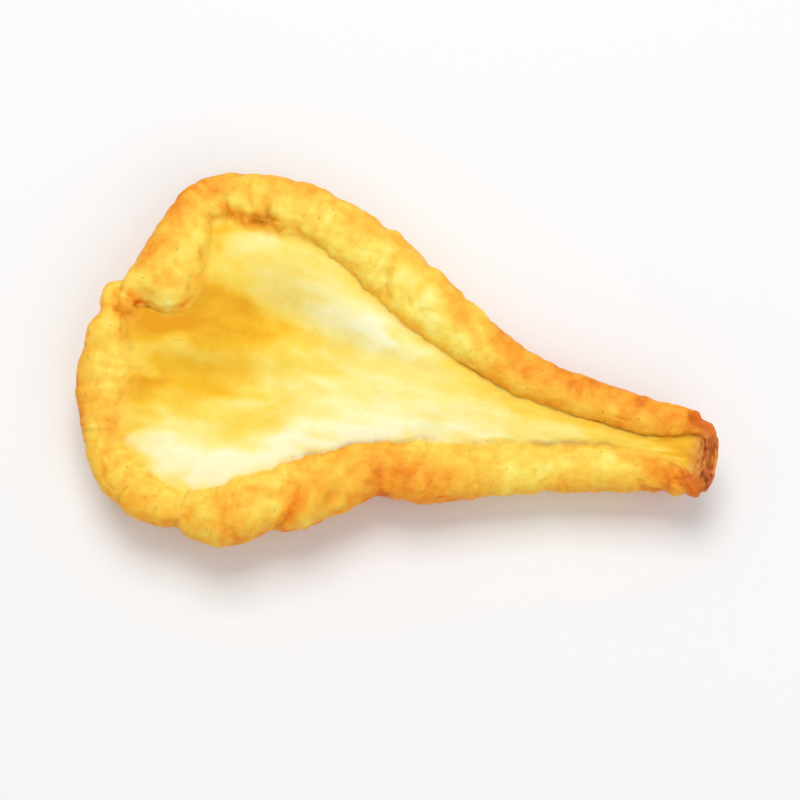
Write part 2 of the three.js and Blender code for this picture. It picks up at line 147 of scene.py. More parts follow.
# Lobes, folds and puckers, pushed out of the roll or into it: start, end, width and rise.
ROLL_RELIEF = [
    ((-27.4, 18.4), (-25.6, 19.4), 2.4, 0.2),      # lumps of the upper roll
    ((-22.8, 19.8), (-20.4, 20), 2.4, 0.2),
    ((-17.4, 20.2), (-14.6, 19.6), 2.4, 0.2),
    ((-10.4, 17.2), (-7.6, 15.8), 2.4, 0.25),
    ((-4.4, 15.2), (-1.8, 13.4), 2.4, 0.25),
    ((0.6, 12), (2.6, 10.4), 2.1, 0.25),
    ((4.6, 9.6), (7, 8.2), 2, 0.2),
    ((-12.9, 21.6), (-11.8, 16.5), 0.9, -0.25),    # folds between the lumps
    ((-6.8, 19.6), (-5.4, 13), 0.9, -0.25),
    ((-0.4, 16.4), (-1.6, 10.6), 0.8, -0.25),
    ((4.8, 13.6), (2.6, 8.2), 0.8, -0.2),
    ((-31.6, 12), (-30.4, 8), 3, 0.35),            # folded lobe and its blunt end
    ((-30.2, 6.2), (-28.6, 5.6), 1.6, 0.25),
    ((-31.2, 4.4), (-29, 4.2), 0.8, 0.3),
    ((-35.2, 5.6), (-34.9, 3.4), 0.75, -0.5),      # crease under the lobe
    ((-34.9, 3.4), (-34.3, 1.2), 0.5, -0.5),
    ((-34.3, 1.2), (-33.2, 0.6), 0.45, -0.5),
    ((-33.2, 0.6), (-32.6, -1), 0.5, -0.3),        # hook in which the crease ends
    ((-32.6, -1), (-31.4, -2.9), 0.6, -0.3),
    ((-34, 4.8), (-33.5, 2.2), 0.75, 0.35),        # pucker: a small curl round a dimple
    ((-33.4, 1.8), (-31.8, 1.4), 0.6, 0.3),
    ((-32.4, 3.6), (-31.6, 3.2), 0.7, -0.2),
    ((-32, 2.4), (-30.6, 2.8), 0.35, -0.4),
    ((-23.2, 15.9), (-21.6, 15.8), 0.6, -0.3),     # nick above the upper lip
    ((-21.4, 15.8), (-20, 15.9), 0.6, -0.5),
    ((-35.2, -2.4), (-35.4, -4), 1.8, 0.2),        # bumps of the blossom end
    ((-33.6, -4.6), (-33.6, -6.4), 2, 0.2),
    ((-30, -5), (-29.4, -5.2), 1.3, 0.5),
    ((-32.8, -8.8), (-31.6, -10.4), 2, 0.18),
    ((-37.8, -4.4), (-33.5, -3.2), 0.8, -0.25),    # creases between the bumps
    ((-36, -13.5), (-30, -11.8), 0.4, -0.12),
    ((-29.6, -17.4), (-27.4, -18.4), 2.4, 0.18),   # lower corner, with a crease
    ((-28.6, -22), (-27, -17.6), 0.5, -0.3),
    ((-21.6, -23.4), (-19.8, -19.8), 0.9, -0.35),  # notch
    ((-19.8, -19.4), (-20.2, -16.4), 0.5, -0.25),
    ((-17.4, -19.4), (-15.6, -18.6), 3.2, 0.5),    # bulge
    ((-11.6, -17.4), (-11.2, -16.8), 2.4, 0.25),
    ((-10.4, -20.4), (-8.9, -14.4), 1.1, -0.55),   # valley beside the bulge
    ((-8.6, -13.4), (-7.9, -10.6), 0.8, -0.25),
    ((-7, -16.6), (-5.4, -11.6), 1.6, 0.45),       # second bulge
    ((-4.6, -15.6), (-1.6, -9.6), 0.9, -0.45),     # folds that slant across the roll
    ((-2.8, -12.6), (0.4, -8), 0.9, 0.3),
    ((-1.6, -13.8), (1.6, -9.6), 0.8, -0.3),
    ((0.6, -9), (1.2, -6.2), 0.6, -0.25),
    ((2.4, -12), (3, -9), 0.7, 0.15),
    ((3.6, -12.4), (5.4, -6), 0.8, -0.25),
    ((7, -7.8), (10.4, -6.4), 2, 0.2),             # lumps and a crease toward the neck
    ((13, -5.6), (16, -4.4), 2, 0.2),
    ((18.1, -1.2), (19.4, -7.4), 0.75, -0.35),
    ((23.6, -2.8), (27, -2), 1.8, 0.2),
    ((33, -0.5), (35.6, -4), 0.6, -0.5),           # puckers below the stem scar
    ((31.6, -1.5), (33.4, -4.8), 0.6, -0.4),
    ((35, -1.2), (37.4, -3), 0.5, -0.4),
    ((33.2, 6.1), (34.9, 4.5), 0.5, -0.4),         # folds of the tip's upper corner
    ((34.9, 6.4), (36.3, 4.4), 0.5, -0.4),
    ((-25.8, 17.6), (-25, 15.2), 0.4, -0.4),       # short creases at the upper lip
    ((-23.6, 19.7), (-22.7, 17.2), 0.4, -0.35),
    ((-21, 18.6), (-20, 16.2), 0.4, -0.4),
    ((-4.9, 13.6), (-4.1, 10.6), 0.4, -0.3),
]
# Where the roll melts into the flesh without a crease: start, end, width and softness. There the grid
# is smoothed over this many rows on each side of the lip, this many times.
SOFT_LIP = [
    ((-24.5, 15.8), (-16, 15.8), 1.6, 0.55),  # upper lip
    ((-26, 14), (-26, 6), 1.6, 0.7),          # lobe
    ((-31, 2.8), (-27.4, 3.4), 1.5, 0.6),
    ((-32, 1), (-31.4, -1), 1, 0.6),          # blossom end
    ((-31.4, -2), (-29.6, -8), 3, 1),
    ((-29, -11), (-27, -15), 3, 0.8),
    ((-21, -16.8), (-11, -11.4), 1.4, 0.6),   # lower lip
    ((4, -4.2), (16, -1.8), 1.2, 0.4),
    ((35.6, 0), (35.6, 4.4), 0.8, 0.8),       # stem end
]
SOFT_LIP_ROWS = 9
SOFT_LIP_ROUNDS = 60

# The underside: a rounded skin, flat where it rests, with furrows that run toward the stem and start
# a share of the way in from the edge.
UNDERSIDE_ROUNDING = 2.1
REST_CUT = 0.35
FURROW_START = 0.3
FURROWS = [
    ((-33, -9), (-10, -8), 1.3, 0.9),
    ((-29, -17), (-9, -13), 1.4, 1),
    ((-34, 5), (-18, 7), 1.3, 0.9),
    ((-28, 16), (-8, 12), 1.5, 1),
    ((-20, 19), (-4, 16), 1.2, 0.7),
    ((-6, 9.5), (16, 6), 1.3, 0.8),
    ((-5, -10.5), (14, -4.5), 1.3, 0.8),
    ((16, -3.4), (34, -0.4), 1, 0.6),
    ((18, 5.4), (34, 4.2), 1, 0.6),
]

# The whole half is bent up at the stem and at the blossom end: start, end and rise.
STEM_LIFT = (8, 37.5, 1.9)
BLOSSOM_LIFT = (-18, -37.5, 0.8)

# The line down the middle on which the two sides of the surface meet, above and below.
SPINE_STEM = np.array((33.4, 2.3))
SPINE_BLOSSOM = np.array((-26.5, -0.4))
SPINE_CROWDING = 0.6

# How finely the surface is divided, round the edge and across it.
RING_STEPS = 640
UNDERSIDE_STEPS = 38
ROLL_STEPS = 64
FLESH_STEPS = 47
FLESH_CROWDING = 1.3
LENGTH_SAMPLES = 6000

# Every noise repeats after this many lumps, and the spread brings it to about -1 to 1.
NOISE_CELLS = 32
NOISE_SPREAD = 1.7
# The noises from which the fine relief and the colours are made: width of a lump, and seed.
NOISES = {
    "lumps": (4.4, 11), "puckers": (1.7, 12), "crinkle": (0.95, 28), "crumple": (0.8, 13),
    "folds": (1.9, 17), "pleats": (0.9, 36), "creases": (2.7, 25), "crease patches": (4, 26),
    "crust": (1.1, 23), "fine crust": (0.55, 24), "shrivel": (0.9, 18), "torn": (0.5, 19),
    "swell": (5, 15), "fibres": (0.9, 14), "fine fibres": (0.4, 16), "streaks": (1.3, 29),
    "blotches": (3, 20), "fine blotches": (1.3, 27), "wander along": (4, 21), "wander across": (4, 22),
}
# Noises that are used as they come.
PLAIN_NOISES = (
    "crumple", "swell", "crust", "fine crust", "blotches", "fine blotches", "wander along", "wander across",
)
# Lumps with furrows between them: how rounded the furrows are, and the mean, which is taken off. The
# crinkle is turned over.
RIDGED = {"lumps": (0.01, 0.35), "puckers": (0.004, 0.3), "crinkle": (0.003, 0.3)}
# Folds that run across the roll: stretch of the grid across it, and the two places across the grid
# between which they come in.
PLEATED = {"folds": (2.2, (-0.6, -0.1)), "pleats": (1.6, (-0.3, 0))}
# How far a finer noise is bent aside by the coarser one that it follows.
PUCKER_BEND = 0.4
CRINKLE_BEND = 0.3
CREASE_BEND = 0.5
SHRIVEL_BEND = 0.5
# Scattered creases: the band of noise that they fill, and where their patches start and are full.
CREASE_BAND = 0.09
CREASE_PATCHES = (-0.1, 0.4)
# Fibres, and wrinkles of the underside, spread from here like a fan. The scales are along a fibre,
# across the fibres by angle, and up.
FAN = (60, 4)
FIBRE_SCALE = (0.12, 45, 0.2)
SHRIVEL_SCALE = (0.6, 0.45, 1)
# Share of the finer fibres, and scale of the scar's torn grain.
FINE_FIBRES = 0.5
TORN_SCALE = (1.6, 0.8, 1.2)

# Distances past the lip between which the skin fades into the flesh, what a soft lip adds to them, and
# the distances between which the flesh's own grain comes in.
SKIN_FADE = (-0.35, 0.05)
SOFT_SKIN_FADE = (-1, 1.4)
FLESH_FADE = (0.4, 2.5)
# Places across the grid between which the looks of the underside come in.
UNDERSIDE_FADE = (0.15, -0.1)

# Heights of the fine relief.
SKIN_RELIEF = {
    "lumps": 0.26, "puckers": 0.15, "crinkle": 0.09, "crumple": 0.03, "folds": 0.12, "pleats": 0.06,
}
FLESH_GRAIN = {"swell": 0.16, "fibres": 0.05, "crumple": 0.015}
CRUST_RELIEF = {"crust": 0.12, "fine crust": 0.1}
CREASE_RELIEF = 0.16
TORN_RELIEF = 0.22
SHRIVEL_RELIEF = 0.9
SHRIVEL_MEAN = 0.28
# Where the skin is crinkled most: start, end, width and strength.
CRUST = [
    ((-24, 16.2), (-19.4, 16.2), 1, 0.8),  # nick above the upper lip
    ((-32.6, 2.8), (-27.4, 3.4), 1.8, 1),  # lobe's blunt end and pucker
    ((32.6, 5.6), (36.6, 5), 1.4, 1),      # tip
    ((31.6, -2.4), (36.6, -2.4), 1.4, 1),
]

# How pale the flesh is: 0 is amber, 1 is cream. Patches: start, end, width and change.
FLESH_PALENESS = 0.5
PALENESS_GRAIN = {"fibres": 0.08, "swell": 0.06}
PALENESS = [
    ((-24.5, -13), (-19, -13.9), 2.7, 0.46),     # cream pool beside the lower roll
    ((-15.6, -12.55), (-10.6, -9.35), 2.1, 0.4),
    ((-7, -6.55), (-1, -4.35), 2.7, 0.43),
    ((2, -2.55), (6, -1.35), 2.4, 0.14),
    ((-27.4, -10.2), (-26.6, -10.4), 1.2, 0.1),  # uneven left end of the pool
    ((-27.4, -12.95), (-27, -13.35), 1.4, 0.1),
    ((-29.4, -12.8), (-28.4, -12.4), 1, -0.24),
    ((-26, -12.2), (-24.4, -12.6), 1.2, -0.12),
    ((-27.4, -14.2), (-23.8, -16.4), 1.2, 0.17),
    ((-24.6, -14.6), (-23.6, -14.8), 1.1, 0.06),
    ((-20, -16), (-11, -11), 1.4, 0.28),         # cream right up to the lower lip
    ((-10, -9.5), (-1, -5.6), 1.4, 0.2),
    ((3, -4), (12, -2.2), 1.6, 0.32),
    ((-26.4, 13.6), (-25.8, 11.6), 1, -0.2),     # gold at the upper lip
    # darker gold just below the upper lip: painted shade
    ((-24.5, 15.2), (-19, 15.5), 0.8, -0.34),
    ((-23, 13.65), (-19, 13.85), 1.5, 0.18),     # cream by the upper roll
    ((-18, 13.05), (-11, 11.2), 2.2, 0.1),
    ((-18.4, 9.4), (-13.4, 9.2), 1.6, 0.14),
    ((-11, 8.05), (-4, 6.85), 2.6, 0.36),
    ((-9, 5.8), (-7, 5.7), 1.2, 0.1),
    ((-4, 6.25), (1, 5.25), 1.8, 0.2),
    ((0.3, 7.2), (3.6, 4.5), 1.1, 0.12),
    # darker beside the lip: painted shade
    ((3.4, 6), (10.4, 3.4), 0.9, -0.06),
    ((-25.2, 7), (-24.6, 3.6), 1.4, -0.09),      # gold hollow below the upper roll
    ((-25, 6.05), (-22, 5.85), 2.2, -0.34),
    ((-20, 5.25), (-17, 4.85), 2, -0.12),
    ((-14.6, 5.7), (-11.4, 5.7), 1.2, -0.14),
    ((-12.8, 3.8), (-10.6, 3.7), 1, -0.14),
    # painted shade in the hollow beside the lobe's blunt end
    ((-31.8, 0.2), (-29.8, 1.2), 1.5, -0.53),    # gold beside the lobe's blunt end
    ((-28, 0.8), (-26, 1.6), 1.4, -0.2),
    ((-27, 2.4), (-16, 2.8), 1.9, -0.33),        # gold each side of the hump
    ((-29, 0.45), (-19, 0.25), 1.8, -0.18),
    ((-26.6, 0.2), (-25.6, 0.2), 1.1, -0.1),
    ((-28, -3.75), (-18, -2.95), 1.9, -0.28),
    ((-28.6, -6.15), (-23, -6.35), 1.8, -0.16),  # gold beside the blossom end
    ((-28.6, -6.2), (-27.6, -6.2), 1.4, -0.16),
    ((-30.2, -7.35), (-29.4, -7.35), 1.3, -0.3),
    ((-27.4, -7.4), (-25.8, -7.6), 1.2, -0.12),
    ((-30.6, -9.8), (-29.6, -9.9), 1.2, -0.12),
    ((-18.4, -4.6), (-15.4, -4.35), 1.1, 0.18),  # pale middle
    ((-14.6, -2), (-13.4, -1.8), 1.1, 0.15),
    ((-10.6, 1.8), (-9.4, -0.6), 1.2, -0.12),
    ((-8, 1.25), (0, 1.05), 3, 0.2),
    ((-11, -1.95), (-5, -2.15), 1.8, 0.14),
    ((-8, -2.8), (-3, -2.2), 1.8, 0.1),
    ((4, 0.45), (19, 0.25), 2.4, 0.17),
    ((14, 2.1), (23, 1.9), 1.2, -0.14),          # neck
    ((26.8, 1.9), (27.8, 1.9), 0.9, 0.06),
    ((27, 1.65), (34.5, 1.65), 2, -0.16),
    ((31, 1.4), (32.6, 1.4), 1, 0.16),
    ((31, 3.3), (34.6, 4.1), 0.9, -0.4),
    ((33.2, 1.4), (34.4, 1.6), 1.1, -0.28),
]
# How far the skin has turned from light yellow, 0, to deep orange, 1. The underside is more orange than
# the crest, and painted shade makes the sides of the roll, its hollows and the bottoms of its folds and
# creases more orange too. Patches: start, end, width and change.
SKIN_TONE = 0.41
SLOPE_SHADE_TONE = 0.24
HOLLOW_SHADE_TONE = 0.12
UNDERSIDE_TONE = 0.16
TONE_AND_SHADE_GRAIN = {"blotches": 0.09, "pleats": -0.07, "fine blotches": 0.09, "creases": 0.1}
TONE = [
    ((-31.5, 15.5), (-28, 19.1), 2.2, 0.2),     # outer corner above the lobe
    ((-28.6, 17.6), (-27.4, 18), 1.2, 0.1),
    ((-25, 20.5), (-16, 20.9), 1.6, 0.12),      # upper roll at its widest place
    ((-26, 17.6), (-22, 17.8), 1, -0.12),
    ((-20.2, 18.9), (-19, 19), 1.2, 0.08),
    ((-24.5, 16.3), (-19.4, 16.1), 1.2, 0.29),  # orange round the nick
    ((-18, 17.6), (-12, 16.9), 2, -0.18),       # pale shoulder
    ((-11, 15.2), (-9.4, 14.6), 1.2, -0.1),
    ((-9, 18), (-6, 17), 1.3, 0.08),
    ((-7, 14.6), (0, 11.6), 2.2, -0.24),
    ((-2.6, 13.6), (-1.4, 13.2), 1.2, -0.18),
    ((1.4, 12.2), (2.2, 11.2), 1.1, -0.1),
    ((0.5, 9.6), (4.6, 7.4), 1.6, -0.3),
    ((4, 11), (6.8, 9.2), 1.2, 0.16),
    ((5, 11.9), (9, 10.1), 1.2, 0.04),
    ((7.6, 9.6), (8.8, 8.2), 1.1, -0.24),
    ((10, 9.4), (12, 8.9), 1.4, 0.12),          # orange neck
    ((11, 7.7), (32, 5.5), 2.8, 0.27),
    ((24, 3.2), (28, 3.2), 0.8, 0.12),
    ((33.6, 4.9), (36.4, 4.2), 1.2, 0.4),       # tip
    ((34, 5), (36.4, 4.8), 1, 0.24),
    ((37.3, -1.5), (37.3, 4.1), 0.8, 0.45),
    ((33, -1.7), (37, -2.5), 1.6, 0.35),
    ((34.2, -1.7), (36.6, -2.4), 1.1, 0.24),
    ((-30.6, 14.8), (-30.4, 10.4), 1.6, 0.12),  # lobe
    ((-34, 12), (-34.4, 9), 1.6, 0.15),
    ((-33.6, 9.6), (-32.6, 11.7), 0.9, 0.14),
    ((-32.6, 8), (-32, 9.2), 1.1, 0.28),
    ((-31.4, 7.2), (-31, 8.2), 1.2, -0.06),
    ((-29.2, 9.8), (-28, 12.1), 1.5, -0.18),
    ((-26.6, 13.5), (-26.6, 5.5), 1.6, -0.12),
    ((-26.5, 4.4), (-26.2, 6.4), 0.9, 0.14),
    # lighter yellow under the lobe's blunt end: painted light that offsets its shade
    ((-30.8, 2.9), (-28, 2.9), 1, -0.3),
    ((-32.6, 3), (-31.6, 2.2), 0.8, 0.3),       # pucker
    ((-32.6, 1), (-31.8, -0.8), 1.2, 0.28),
    ((-33.4, 2.2), (-33.2, 1.4), 0.6, -0.12),
    ((-33.9, -0.4), (-33.4, -0.2), 0.9, -0.18),
    ((-35.2, 3.4), (-34.2, 2.6), 0.7, -0.2),
    ((-36.8, 0.1), (-36.4, -0.5), 0.7, 0.25),
    ((-36.4, -2.4), (-36.4, -3), 1, 0.08),      # blossom end
    ((-33.6, -3.9), (-33.4, -5.1), 1.8, -0.14),
    ((-30.4, -7.1), (-29.6, -7.5), 1.1, 0.12),
    ((-30.4, -8.4), (-29.6, -8.6), 1.2, 0.1),
    ((-32.4, -8.4), (-31.6, -8.4), 1, -0.08),
    ((-36.4, -9), (-35, -14), 1.2, 0.24),
    ((-32.4, -12.6), (-31.4, -12.8), 1, -0.12),
    ((-30.6, -11.8), (-29.4, -12.2), 1.3, 0.14),
    ((-26, -21.2), (-12.8, -19.4), 1.5, 0.09),  # lower roll
    ((-25.5, -17.5), (-20, -17.5), 1.6, -0.08),
    ((-18.4, -16.6), (-17.6, -16.4), 1.1, -0.22),
    ((-14.6, -14.4), (-13.6, -13.8), 1.2, -0.22),
    ((-14, -18), (9, -8.6), 2.8, 0.1),
    ((-11.4, -18.4), (-10.2, -16.6), 1, -0.2),  # valley beside the bulge, with an orange edge
    ((-9.5, -17.2), (-9, -15.6), 0.8, -0.2),
    ((-8.4, -18.6), (-7, -16.2), 1.2, 0.22),
    ((-8.4, -15.4), (-8, -14.2), 1, 0.2),
    ((-7.2, -18), (-6.8, -17.2), 0.8, 0.12),
    ((-7, -15.6), (-5.4, -10.6), 1.5, 0.1),
    ((-4.4, -9), (-1.2, -10.2), 1.6, 0.16),     # orange folds
    ((-0.6, -13.2), (1.6, -12.9), 1, 0.28),
    ((-1, -7.1), (4.6, -6.1), 1.3, 0.15),
    ((1, -9.9), (6.2, -9.2), 2, 0.22),
    ((2, -9.6), (1.8, -7.2), 0.9, 0.08),
    ((5.6, -7), (6.8, -6.8), 1.2, 0.08),
    ((3.4, -5.2), (6, -4.6), 1, -0.16),         # neck's lower roll
    ((11, -4.4), (15, -4.8), 1.2, 0.08),
    ((12, -3), (27, -1.7), 1.6, -0.1),
    ((15, -5.6), (19, -4.5), 1.5, -0.36),
    ((26.4, -2.4), (28.6, -2.2), 1.2, -0.1),
    ((28.4, -0.9), (30.6, -0.9), 1.2, 0.22),
    ((29.6, -2.1), (32, -1.7), 1.4, 0.14),
]
# The noises whose low places count as hollows, which get painted shade, and how deep a full hollow is.
SHADED_HOLLOWS = {"lumps": 0.3, "puckers": 0.2, "folds": 0.15, "crinkle": 0.12}
HOLLOW_DEPTH = 0.2
# How far the patches of colour stray from their lines, and how far those of the flesh are drawn out
# into streaks.
PATCH_WANDER = 1.2
STREAK_WANDER = 3.0

# The stem scar: a torn brown band across the tip, with a browned edge beside it. Start, end, width and
# strength.
SCAR = [
    ((36.6, -0.5), (36.3, 3.2), 1.05, 1.05),
    ((36.9, -1.2), (36.9, -2), 0.35, 0.6),
]
BLUSH = [
    ((35.2, 0.3), (35.2, 3.2), 1.8, 0.85),
    ((36.6, -1), (36.6, -1.2), 0.9, 0.4),
]
# How ragged the scar is, and the strengths at which it starts and is full. How ragged the blush is, and
# the places lengthways between which it comes in.
SCAR_TEAR = 0.5
SCAR_FADE = (0.3, 1.0)
BLUSH_TEAR = 0.25
BLUSH_START = (33.2, 35.6)
# Both reach under the tip, as far as this place across the grid.
SCAR_BOTTOM = -0.5
# The thin brown line at the lip, partly the skin's own and partly painted shade in the crease: start,
# end, width and strength.
LIP_LINE = [
    ((-22.7, 17), (-13.3, 15.2), 1.6, 0.3),  # upper lip
    ((-10, 13.6), (7, 4.8), 2, 0.22),
    ((9, 3.8), (12, 3), 1.6, 0.5),
    ((17, 2.5), (19.4, 2.4), 1.2, 0.4),
    ((23.4, 2.6), (27, 2.8), 1.2, 0.4),
    ((29, 3), (34.4, 4.4), 1.4, 0.7),
    ((-9, -9.6), (4, -4.2), 1.8, 0.4),       # lower lip
    ((10, -3.2), (13, -2.4), 1.4, 0.4),
    ((17, -1.6), (25, 0), 1.4, 0.5),
]
LIP_LINE_WIDTH = 0.4
# Brown creases, partly the skin's own browning and partly painted shade in them: start, end, width and
# strength.
MARKS = [
    ((-25.3, 16.6), (-25, 15.3), 0.18, 0.5),     # upper lip and its nick
    ((-23, 16.1), (-19.8, 15.7), 0.3, 0.3),
    ((-21.5, 16), (-20.5, 16), 0.35, 0.9),
    ((-20.8, 18), (-20.4, 16.7), 0.22, 0.35),
    # painted shade beside the nick
    ((-20.1, 17.4), (-19.6, 16.6), 0.55, 0.35),
    ((-4.9, 13.5), (-4.2, 10.9), 0.16, 0.35),    # shoulder
    ((-26.7, 10.6), (-26.4, 9.4), 0.2, 0.4),     # lobe
    ((-26.9, 6.9), (-26.7, 5.5), 0.25, 0.35),
    ((-32.4, 2.2), (-30.8, 2.7), 0.2, 0.8),      # pucker and the crease under the lobe
    ((-34.9, 3), (-34.3, 1.3), 0.22, 0.3),
    ((-34.3, 1.2), (-33.1, 0.6), 0.2, 0.45),
    ((-33, 0.4), (-32.3, -1.4), 0.35, 0.3),
    ((-32.3, -1.4), (-31.4, -2.8), 0.45, 0.25),
    ((-34.7, -13.8), (-31, -12.7), 0.18, 0.35),  # lower roll
    ((-28.3, -21.6), (-27.2, -18.9), 0.18, 0.4),
    ((-21.6, -22.5), (-20.7, -21.1), 0.2, 0.5),
    ((-20.3, -17.2), (-20.2, -19.3), 0.18, 0.4),
    ((-9.7, -19.3), (-9, -17.1), 0.25, 0.3),
    ((28.4, -4), (29.2, -4.2), 0.2, 0.4),        # neck's lower side
    ((29.4, -2.9), (29.9, -3.3), 0.25, 0.4),
    ((30.4, -3.3), (31.6, -3.7), 0.2, 0.3),
    ((31.4, 0.1), (34, -0.5), 0.2, 0.3),
    ((31.9, -2), (31.7, -2.6), 0.16, 0.4),
    ((33.3, -1.4), (35, -3), 0.2, 0.5),          # tip below the stem scar
    ((35.2, -1.3), (36.8, -2.9), 0.2, 0.5),
    ((33.2, 5.9), (34.6, 4.8), 0.2, 0.6),        # tip's upper corner
    ((34.9, 5.9), (35.6, 4.6), 0.2, 0.6),
]

# Colours as display values: flesh from amber to cream, skin from light yellow to deep orange, and the
# scar from dark to light.
FLESH_COLOURS = [(229, 160, 22), (242, 191, 44), (249, 217, 92), (252, 234, 148), (255, 248, 202)]
SKIN_COLOURS = [
    (253, 239, 142), (252, 224, 100), (250, 204, 76), (250, 182, 56), (243, 154, 38), (222, 112, 20),
]
SCAR_COLOURS = [(128, 52, 8), (178, 92, 32), (220, 134, 68)]
BLUSH_COLOUR = (210, 130, 66)
# The brown of the lip line and marks, which also paints the shade in their creases.
LIP_AND_SHADE_COLOUR = (172, 108, 0)
SPECK_COLOUR = (150, 84, 24)

# Grain of the material, in lumps to a millimetre, and how strongly it changes tone, paleness and shine.
MOTTLE = 0.8
MOTTLE_TONE = 0.3
MOTTLE_PALENESS = 0.22
MOTTLE_ROUGHNESS = 0.3
FINE_GRAIN = 2.6
FINE_TONE = 0.18
# Specks of the skin: how close, the grain at which they start and are full, and their strength.
SPECKS = 2.1
SPECK_FADE = (0.2, 0.3)
SPECK_STRENGTH = 0.4
# The mottle breaks up the brown lines, with their painted crease shade, between these values.
LINE_FADE = (-0.3, 0.1)
# Grain of the scar: its density, stretch, contrast and middle shade.
SCAR_GRAIN = 1.5
SCAR_STRETCH = (1.3, 0.8, 0.8)
SCAR_CONTRAST = 2.2
SCAR_SHADE = 0.4
# The finish: the flesh is less shiny than the skin, and light goes a little way into both.
SKIN_ROUGHNESS = 0.5
FLESH_ROUGHNESS = 0.14
FINISH = {
    "Specular IOR Level": 0.15,
    "Subsurface Weight": 0.35,
    "Subsurface Radius": (1.0, 0.5, 0.15),
    "Subsurface Scale": 1.6 * MM,
}
# Pores only shade the surface.
PORE_GRAIN = 5.0
PORE_STRENGTH = 0.4
BUMP_STRENGTH = 0.35
BUMP_DEPTH = 0.15

# The floor: its side and how far it lies below the half, in metres.
FLOOR_SIDE = 4
FLOOR_DROP = 0.0002
FLOOR_LOOK = {"Base Color": (0.9, 0.9, 0.9, 1), "Roughness": 0.9}

# The lights: place and side in metres, and power in watts. They point at the middle of the half.
KEY_LIGHT = ((-0.10, 0.25, 0.53), 0.35, 1.95)
FILL_LIGHT = ((0.26, -0.24, 0.50), 0.5, 0.92)
LIT_PLACE = (0, 0, 0.005)
ROOM_LIGHT = {"Color": (1, 1, 1, 1), "Strength": 0.45}

# The camera: its angles in degrees, its lens, the share of the picture's width that the half fills, and
# the nearest distance it sees, in metres.
CAMERA_AZIMUTH = 14.7
CAMERA_ELEVATION = 75
CAMERA_LENS = 100
CAMERA_FILL = 0.80
CAMERA_NEAR = 0.01


def closed_curve(places, parameters):
    """Points of the closed smooth curve through the places, at parameters from 0 to 1."""
    count = len(places)
    turn = np.asarray(parameters) * count
    first = np.floor(turn).astype(int)
    t = (turn - first)[:, None]
    a, b, c, d = (places[(first + step) % count] for step in (-1, 0, 1, 2))
    return 0.5 * (2 * b + (c - a) * t + (2 * a - 5 * b + 4 * c - d) * t**2 + (3 * b - a - 3 * c + d) * t**3)


def even_parameters(start, end, steps):
    """Parameters that part one side of the edge into equal lengths, their distances and its length."""
    fine = np.linspace(start, end, LENGTH_SAMPLES)
    points = closed_curve(EDGE[:, :2], fine)
    lengths = np.concatenate(([0], np.cumsum(np.linalg.norm(np.diff(points, axis=0), axis=1))))
    wanted = lengths[-1] * np.arange(steps) / steps
    return np.interp(wanted, lengths, fine), wanted, lengths[-1]


def ring_places():
    """The edge's parameters at the ring samples, and their distances from the stem along the edge."""
    half = RING_STEPS // 2
    upper, upper_lengths, upper_total = even_parameters(0, BLOSSOM, half)
    lower, lower_lengths, _ = even_parameters(BLOSSOM, 1, half)
    around = np.concatenate((upper_lengths, upper_total + lower_lengths))
    return np.concatenate((upper, lower)), around[:, None]


def spine_places():
    """Where the ring samples meet the line down the middle, from the stem to the blossom end and back."""
    half = RING_STEPS // 2
    turn = np.arange(RING_STEPS)
    part = np.where(turn <= half, turn, RING_STEPS - turn) / half
    crowded = part - SPINE_CROWDING * np.sin(2 * math.pi * part) / (2 * math.pi)
    return SPINE_STEM + crowded[:, None] * (SPINE_BLOSSOM - SPINE_STEM)


def soft_step(low, high, value):
    """0 at the low value, 1 at the high one and smooth between them."""
    part = np.clip((value - low) / (high - low), 0, 1)
    return part * part * (3 - 2 * part)


def power(value, exponent):
    """The power of the size of a value, with the value's sign."""
    return np.sign(value) * np.abs(value) ** exponent


def relief(features, x, y):
    """Sum of soft ridges, or grooves where the rise is below 0, each along a line seen from above."""
    height = np.zeros_like(x)
    for start, end, width, rise in features:
        along_x, along_y = end[0] - start[0], end[1] - start[1]
        length_squared = max(along_x**2 + along_y**2, TINY)
        nearest = np.clip(((x - start[0]) * along_x + (y - start[1]) * along_y) / length_squared, 0, 1)
        off_squared = (x - start[0] - nearest * along_x) ** 2 + (y - start[1] - nearest * along_y) ** 2
        height += rise * np.exp(-off_squared / width**2)
    return height


def noise(points, cell, seed):
    """Gradient noise from about -1 to 1, with lumps about one cell wide."""
    slopes = np.random.default_rng(seed).normal(size=(NOISE_CELLS, NOISE_CELLS, NOISE_CELLS, 3))
    slopes /= np.linalg.norm(slopes, axis=-1, keepdims=True)
    place = points / cell
    base = np.floor(place).astype(int)
    part = place - base
    fade = part**3 * (part * (part * 6 - 15) + 10)
    total = np.zeros(points.shape[:-1])
    for corner in itertools.product((0, 1), repeat=3):
        at = np.array(corner)
        index = (base + at) % NOISE_CELLS
        slope = slopes[index[..., 0], index[..., 1], index[..., 2]]
        weight = np.prod(np.where(at, fade, 1 - fade), axis=-1)
        total += weight * np.sum(slope * (part - at), axis=-1)
    return total * NOISE_SPREAD


def seam_fade():
    """A share for each ring sample, which is 0 at the stem, where the ring closes on itself."""
    return np.sqrt(np.sin(math.pi * np.arange(RING_STEPS) / RING_STEPS))[:, None]


def waver(waves, around):
    """Sum of the waves at these distances along the edge."""
    along = np.stack((around, np.zeros_like(around), np.zeros_like(around)), axis=-1)
    return sum(height * (noise(along, length, seed) * seam_fade()) for height, length, seed in waves)


